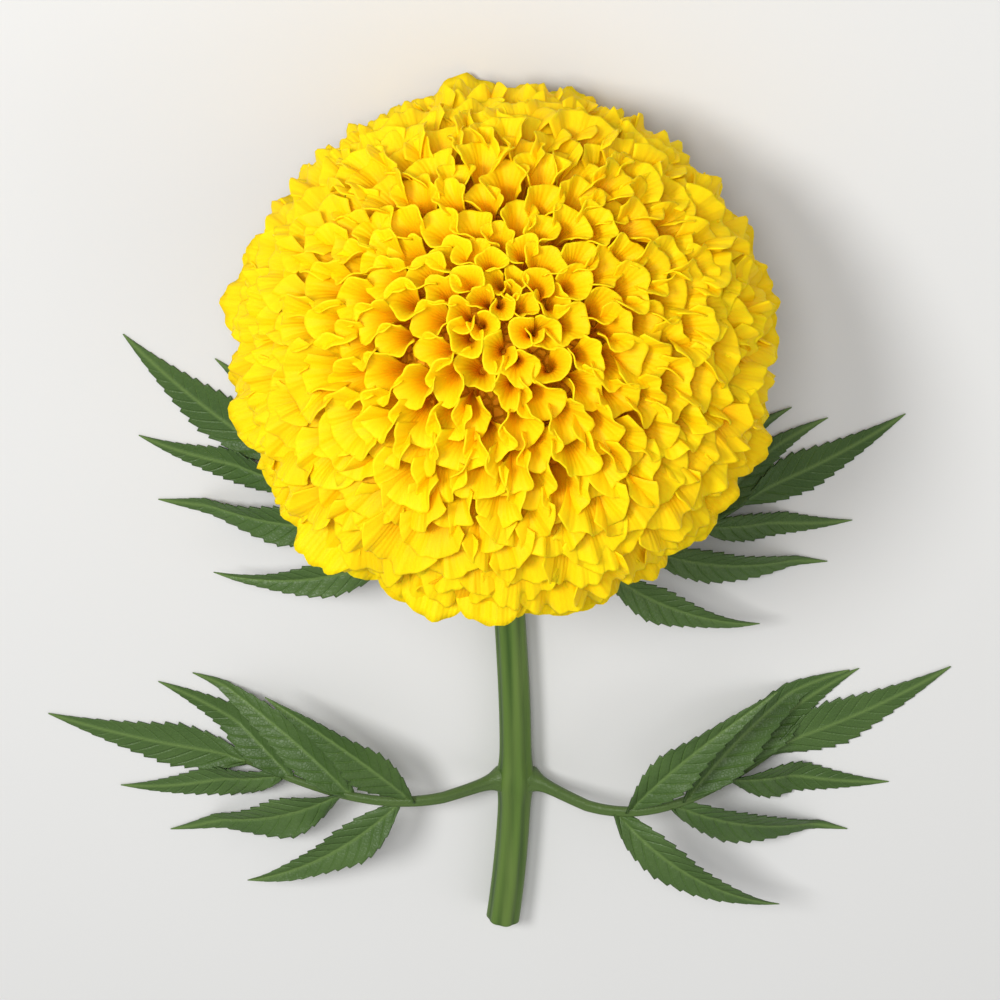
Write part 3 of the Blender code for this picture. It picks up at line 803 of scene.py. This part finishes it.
def make_leaf(name, leaf, material, dice):
    """A pinnate leaf: petiole and rachis, pairs of toothed leaflets and one at the end."""
    line = rachis_line(leaf)
    shape = Shape()
    add_rachis(shape, line, stem_level() + leaf.run)
    for pair in range(leaf.pairs):
        share = PETIOLE_SHARE + (1 - PETIOLE_SHARE) * (pair + 0.3) / leaf.pairs
        size = leaf.longest * (0.68 + 0.32 * math.sin(math.pi * (pair + 1.2) / (leaf.pairs + 1)))
        for edge in (-1, 1):
            swing = edge * (LEAFLET_ANGLE - LEAFLET_CLOSING * pair)
            bow = -edge * LEAFLET_BOW * stray(dice, LEAFLET_BOW_STRAY)
            add_leaflet(shape, dice, line, share + 0.025 * edge, swing, size, bow)
    add_leaflet(shape, dice, line, 0.98, 0.0, leaf.longest * 1.12, leaf.hand * LEAFLET_BOW / 2)
    shape.build(f"{name}_fine", (name,), material)


class Look:
    """A procedural material: a few helpers around its node tree."""

    def __init__(self, name, roughness, specular=0.5):
        self.material = bpy.data.materials.new(name)
        self.material.use_nodes = True
        self.tree = self.material.node_tree
        self.shader = self.tree.nodes["Principled BSDF"]
        self.shader.inputs["Roughness"].default_value = roughness
        self.shader.inputs["Specular IOR Level"].default_value = specular

    def node(self, kind, **settings):
        made = self.tree.nodes.new(kind)
        for name, value in settings.items():
            setattr(made, name, value)
        return made

    def link(self, source, target):
        self.tree.links.new(source, target)

    def value(self, name):
        """A value that the shapes were given, by its name."""
        return self.node("ShaderNodeAttribute", attribute_name=name).outputs["Fac"]

    def math(self, operation, first, second=0.0, clamp=False):
        made = self.node("ShaderNodeMath", operation=operation, use_clamp=clamp)
        for socket, given in zip(made.inputs, (first, second)):
            if isinstance(given, (int, float)):
                socket.default_value = given
            else:
                self.link(given, socket)
        return made.outputs[0]

    def ramp(self, source, stops):
        made = self.node("ShaderNodeValToRGB")
        elements = made.color_ramp.elements
        while len(elements) < len(stops):
            elements.new(0.5)
        for element, (place, colour) in zip(elements, stops):
            element.position = place
            element.color = (*colour, 1.0)
        self.link(source, made.inputs[0])
        return made.outputs["Color"]

    def noise(self, scale, detail=3.0, stretch=(1, 1, 1)):
        place = self.node("ShaderNodeTexCoord")
        mapping = self.node("ShaderNodeMapping")
        mapping.inputs["Scale"].default_value = stretch
        made = self.node("ShaderNodeTexNoise")
        made.inputs["Scale"].default_value = scale
        made.inputs["Detail"].default_value = detail
        self.link(place.outputs["Object"], mapping.inputs["Vector"])
        self.link(mapping.outputs["Vector"], made.inputs["Vector"])
        return made.outputs["Fac"]

    def spots(self, scale):
        """How far a point is from the nearest of many scattered ones."""
        place = self.node("ShaderNodeTexCoord")
        made = self.node("ShaderNodeTexVoronoi")
        made.inputs["Scale"].default_value = scale
        self.link(place.outputs["Object"], made.inputs["Vector"])
        return made.outputs["Distance"]

    def cells(self, scale):
        """Lines between small cells, 1 on a line."""
        place = self.node("ShaderNodeTexCoord")
        made = self.node("ShaderNodeTexVoronoi", feature="DISTANCE_TO_EDGE")
        made.inputs["Scale"].default_value = scale
        self.link(place.outputs["Object"], made.inputs["Vector"])
        off_line = self.math("DIVIDE", made.outputs["Distance"], 0.16)
        return self.math("SUBTRACT", 1.0, off_line, clamp=True)

    def mix(self, share, first, second, blend_type="MIX"):
        made = self.node("ShaderNodeMix", data_type="RGBA", blend_type=blend_type)
        sockets = (made.inputs[0], made.inputs[6], made.inputs[7])
        for socket, given in zip(sockets, (share, first, second)):
            if isinstance(given, (int, float)):
                socket.default_value = given
            elif isinstance(given, tuple):
                socket.default_value = (*given, 1.0)
            else:
                self.link(given, socket)
        return made.outputs[2]

    def bump(self, height, distance, strength=1.0):
        made = self.node("ShaderNodeBump")
        made.inputs["Distance"].default_value = distance
        made.inputs["Strength"].default_value = strength
        self.link(height, made.inputs["Height"])
        self.link(made.outputs["Normal"], self.shader.inputs["Normal"])

    def colour(self, source):
        self.link(source, self.shader.inputs["Base Color"])


def petal_look():
    look = Look("petal", 0.62, 0.12)
    along = look.value("along")
    # Deep orange at the base to lemon at the tip: the orange is partly the petals' own colour and partly
    # painted shade, for the shade that falls in the throats and between the florets.
    base = look.ramp(along, (
        (0.0, (0.93, 0.36, 0.0)), (0.45, (0.95, 0.42, 0.0)), (0.68, (0.96, 0.5, 0.001)),
        (0.84, (0.97, 0.63, 0.002)), (1.0, (0.98, 0.7, 0.003)),
    ))
    deep = look.mix(look.value("tone"), (0.96, 0.9, 0.9), (1.0, 1.0, 1.0))
    toned = look.mix(1.0, base, deep, "MULTIPLY")
    veins = look.math("SINE", look.math("MULTIPLY", look.value("across"), 46.0))
    vein = look.math("MULTIPLY", look.math("ADD", look.math("MULTIPLY", veins, 0.5), 0.5), 0.1)
    lined = look.mix(vein, toned, (0.9, 0.45, 0.0))
    mottled = look.mix(look.math("MULTIPLY", look.noise(420.0), 0.1), lined, (0.92, 0.52, 0.0))
    look.colour(mottled)
    height = look.math("ADD", look.math("MULTIPLY", veins, 0.5), look.noise(900.0))
    look.bump(height, 0.00008, 0.6)
    look.shader.inputs["Subsurface Weight"].default_value = 0.4
    look.shader.inputs["Subsurface Radius"].default_value = (1.0, 0.6, 0.05)
    look.shader.inputs["Subsurface Scale"].default_value = 0.0006
    return look.material


def core_look():
    look = Look("floret_bases", 0.7, 0.2)
    mottled = look.ramp(look.noise(600.0), ((0.3, (0.88, 0.33, 0.0)), (0.7, (0.94, 0.44, 0.0))))
    tubes = look.cells(650.0)
    look.colour(look.mix(look.math("MULTIPLY", tubes, 0.5), mottled, (0.7, 0.22, 0.0)))
    look.bump(look.math("SUBTRACT", 1.0, tubes), 0.0005, 0.8)
    return look.material


def calyx_look():
    look = Look("calyx_bracts", 0.45, 0.3)
    keel = look.value("keel")
    green = look.ramp(keel, (
        (0.0, (0.03, 0.065, 0.008)), (0.25, (0.075, 0.14, 0.015)), (0.7, (0.15, 0.235, 0.025)),
        (1.0, (0.26, 0.34, 0.045)),
    ))
    mouth = look.ramp(look.value("along"), ((0.7, (0.0, 0.0, 0.0)), (1.0, (0.7, 0.7, 0.7))))
    toned = look.mix(mouth, green, (0.33, 0.34, 0.05))
    turn = look.math("MULTIPLY", look.value("turn"), 110.0)
    lines = look.math("ADD", look.math("MULTIPLY", look.math("SINE", turn), 0.5), look.noise(300.0))
    lined = look.mix(look.math("MULTIPLY", lines, 0.3), toned, (0.055, 0.11, 0.012))
    dots = look.math("LESS_THAN", look.spots(420.0), 0.2)
    look.colour(look.mix(look.math("MULTIPLY", dots, 0.5), lined, (0.16, 0.11, 0.012)))
    look.bump(look.math("SUBTRACT", lines, look.math("MULTIPLY", dots, 0.6)), 0.0002, 0.6)
    return look.material


def stem_look():
    look = Look("stem_skin", 0.5, 0.25)
    ridge = look.value("ridge")
    green = look.mix(ridge, (0.035, 0.08, 0.013), (0.1, 0.175, 0.032))
    lengthwise = look.noise(420.0, stretch=(1, 0.05, 1))
    streaks = look.ramp(lengthwise, ((0.4, (0.0, 0.0, 0.0)), (0.7, (0.7, 0.7, 0.7))))
    mottled = look.mix(streaks, green, (0.13, 0.2, 0.045))
    cut = look.value("cut")
    pith = look.ramp(cut, (
        (0.0, (0.1, 0.2, 0.04)), (0.35, (0.25, 0.36, 0.1)), (0.7, (0.5, 0.56, 0.26)),
        (1.0, (0.75, 0.76, 0.52)),
    ))
    look.colour(look.mix(look.math("GREATER_THAN", cut, 0.01), mottled, pith))
    look.bump(look.noise(900.0, stretch=(1, 0.06, 1)), 0.0003, 0.8)
    return look.material


def leaf_look():
    look = Look("leaf_blade", 0.42, 0.28)
    patches = look.noise(70.0)
    upper = look.ramp(patches, ((0.25, (0.004, 0.017, 0.002)), (0.75, (0.012, 0.037, 0.004))))
    under = look.ramp(patches, ((0.25, (0.05, 0.1, 0.025)), (0.75, (0.085, 0.15, 0.04))))
    face = look.mix(look.value("top"), under, upper)
    toned = look.mix(look.math("MULTIPLY", look.value("tone"), 0.4), face, (0.026, 0.066, 0.006))
    off_vein = look.math("PINGPONG", look.value("veins"), 0.5)
    line = look.math("SUBTRACT", 1.0, look.math("DIVIDE", off_vein, 0.14), clamp=True)
    vein = look.math("MULTIPLY", line, look.value("within"))
    cells = look.cells(1500.0)
    netted = look.mix(look.math("MULTIPLY", cells, 0.15), toned, (0.05, 0.1, 0.018))
    veined = look.mix(look.math("MULTIPLY", vein, 0.65), netted, (0.075, 0.15, 0.028))
    rib = look.math("SUBTRACT", 1.0, look.math("DIVIDE", look.value("off_rib"), 0.55), clamp=True)
    look.colour(look.mix(look.math("MULTIPLY", rib, 0.75), veined, (0.14, 0.225, 0.06)))
    dents = look.math("ADD", vein, look.math("MULTIPLY", cells, 0.2))
    look.bump(look.math("SUBTRACT", look.noise(900.0), dents), 0.00025, 0.7)
    return look.material


def plain_look(name, colour, roughness):
    look = Look(name, roughness, 0.3)
    look.shader.inputs["Base Color"].default_value = (*colour, 1.0)
    return look.material


def make_stage():
    bpy.ops.mesh.primitive_plane_add(size=6)
    floor = bpy.context.object
    floor.name = "floor"
    floor.data.materials.append(plain_look("pale_floor", (0.69, 0.69, 0.68), 0.8))


def add_light(name, place, size, power, aim):
    data = bpy.data.lights.new(name, "AREA")
    data.shape = "DISK"
    data.size = size
    data.energy = power
    light = bpy.data.objects.new(name, data)
    bpy.context.scene.collection.objects.link(light)
    light.location = place
    light.rotation_euler = (Vector(aim) - Vector(place)).to_track_quat("-Z", "Y").to_euler()


def light_scene():
    world = bpy.data.worlds.new("studio")
    bpy.context.scene.world = world
    world.use_nodes = True
    background = world.node_tree.nodes["Background"]
    background.inputs["Color"].default_value = (1.0, 1.0, 1.0, 1.0)
    background.inputs["Strength"].default_value = WORLD_STRENGTH
    for name, values in LIGHTS.items():
        add_light(name, *values)
    bpy.context.scene.view_settings.view_transform = "Standard"


def place_camera():
    """The camera looks down on the flower from its face's side, with +Y up in the picture."""
    data = bpy.data.cameras.new("camera")
    data.sensor_width = CAMERA_SENSOR
    data.lens = CAMERA_LENS
    data.clip_start = 0.01
    camera = bpy.data.objects.new("camera", data)
    bpy.context.scene.collection.objects.link(camera)
    towards = Vector((0, math.sin(CAMERA_LEAN), math.cos(CAMERA_LEAN)))
    camera.location = Vector(CAMERA_AIM) + towards * CAMERA_DISTANCE
    camera.rotation_euler = (-CAMERA_LEAN, 0, 0)
    bpy.context.scene.camera = camera


make_florets(petal_look())
make_core(core_look())
make_calyx(calyx_look())
make_stem(stem_look())
leaf_material = leaf_look()
leaf_dice = np.random.default_rng(SEED + 1)
for leaf_name, leaf_values in LEAVES.items():
    make_leaf(leaf_name, leaf_values, leaf_material, leaf_dice)
make_stage()
light_scene()
place_camera()
